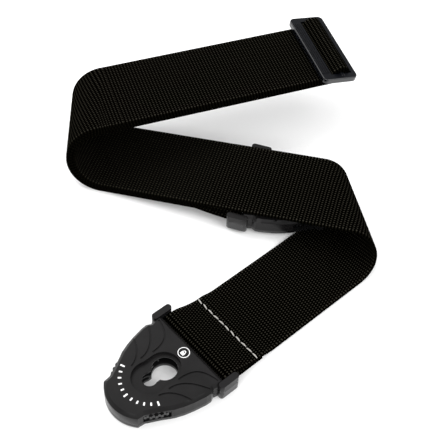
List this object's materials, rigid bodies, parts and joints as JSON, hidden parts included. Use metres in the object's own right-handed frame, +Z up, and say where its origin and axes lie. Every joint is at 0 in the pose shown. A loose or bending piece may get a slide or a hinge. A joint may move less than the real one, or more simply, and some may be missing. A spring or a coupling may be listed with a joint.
{
  "type": "guitar strap with locking ends",
  "caption": "Black webbing guitar strap folded in a loose zigzag, with twist-lock button ends and a three-bar length slider.",
  "frame": {"origin": "centre of the folded strap on the surface that it lies on", "axes": "+Z up from that surface, +X to the right and +Y away from the viewer of the folded strap"},
  "size_m": [0.182, 0.2764, 0.0473],
  "materials": {
    "webbing": "woven polypropylene, ribbed",
    "thread": "white sewing thread",
    "cover_plastic": "satin moulded",
    "mechanism_plastic": "moulded acetal",
    "slider_plastic": "glossy moulded",
    "steel": "plain"
  },
  "bodies": {
    "webbing": {"back_run_bottom": "webbing", "back_run_centre": "webbing", "back_run_top": "webbing", "end_loop": "webbing", "end_stitches": "thread", "front_run": "webbing", "left_bend_centre": "webbing", "left_bend_inner": "webbing", "left_bend_outer": "webbing", "middle_run_bottom": "webbing", "middle_run_centre": "webbing", "middle_run_top": "webbing", "right_bend": "webbing", "second_lock_loop": "webbing"},
    "slider": {"slider_frame": "slider_plastic", "slider_turn": "webbing", "slider_sewn_loop": "webbing"},
    "lock_a": {"lock_a_back_cover": "cover_plastic", "lock_a_click_spring": "steel", "lock_a_front_cover": "cover_plastic", "lock_a_screws": "steel", "lock_a_strap_bar": "steel"},
    "lock_a_dial": {"lock_a_dial": "mechanism_plastic"},
    "lock_a_jaw_left": {"lock_a_jaw_left": "mechanism_plastic"},
    "lock_a_jaw_right": {"lock_a_jaw_right": "mechanism_plastic"},
    "lock_b": {"lock_b_back_cover": "cover_plastic", "lock_b_click_spring": "steel", "lock_b_front_cover": "cover_plastic", "lock_b_screws": "steel", "lock_b_strap_bar": "steel"},
    "lock_b_dial": {"lock_b_dial": "mechanism_plastic"},
    "lock_b_jaw_left": {"lock_b_jaw_left": "mechanism_plastic"},
    "lock_b_jaw_right": {"lock_b_jaw_right": "mechanism_plastic"}
  },
  "joints": [
    {"name": "slider_slide", "type": "slide", "parent": "webbing", "child": "slider", "axis": [0.9472, 0.3207, -0.0001], "range_m": [-0.06, 0], "deforming": ["back_run_bottom", "back_run_centre", "back_run_top"]},
    {"name": "lock_a_bar_hinge", "type": "hinge", "parent": "webbing", "child": "lock_a", "pos_m": [-0.0112, -0.09407, 0.0055], "axis": [-0.6481, 0.7615, 0], "range_deg": [0, 80]},
    {"name": "lock_a_dial_turn", "type": "hinge", "parent": "lock_a", "child": "lock_a_dial", "pos_m": [-0.03633, -0.11546, 0.0063], "axis": [0, 0, 1], "range_deg": [0, 45]},
    {"name": "lock_a_jaw_left_slide", "type": "slide", "parent": "lock_a", "child": "lock_a_jaw_left", "axis": [-0.6481, 0.7615, 0], "range_m": [0, 0.0017]},
    {"name": "lock_a_jaw_right_slide", "type": "slide", "parent": "lock_a", "child": "lock_a_jaw_right", "axis": [-0.6481, 0.7615, 0], "range_m": [-0.0017, 0]},
    {"name": "lock_b_bar_hinge", "type": "hinge", "parent": "webbing", "child": "lock_b", "pos_m": [0.01721, 0.01725, 0.00951], "axis": [-0.3012, -0.9512, -0.0664], "range_deg": [-1, 3]},
    {"name": "lock_b_dial_turn", "type": "hinge", "parent": "lock_b", "child": "lock_b_dial", "pos_m": [0.04866, 0.00724, 0.01031], "axis": [-0.0201, -0.0633, 0.9978], "range_deg": [0, 45]},
    {"name": "lock_b_jaw_left_slide", "type": "slide", "parent": "lock_b", "child": "lock_b_jaw_left", "axis": [-0.3012, -0.9512, -0.0664], "range_m": [0, 0.0017]},
    {"name": "lock_b_jaw_right_slide", "type": "slide", "parent": "lock_b", "child": "lock_b_jaw_right", "axis": [-0.3012, -0.9512, -0.0664], "range_m": [-0.0017, 0]}
  ],
  "couplings": [
    {"joint": "lock_a_jaw_left_slide", "follows": "lock_a_dial_turn", "m_per_rad": 0.0020372},
    {"joint": "lock_a_jaw_right_slide", "follows": "lock_a_dial_turn", "m_per_rad": -0.0020372},
    {"joint": "lock_b_jaw_left_slide", "follows": "lock_b_dial_turn", "m_per_rad": 0.0020372},
    {"joint": "lock_b_jaw_right_slide", "follows": "lock_b_dial_turn", "m_per_rad": -0.0020372}
  ]
}
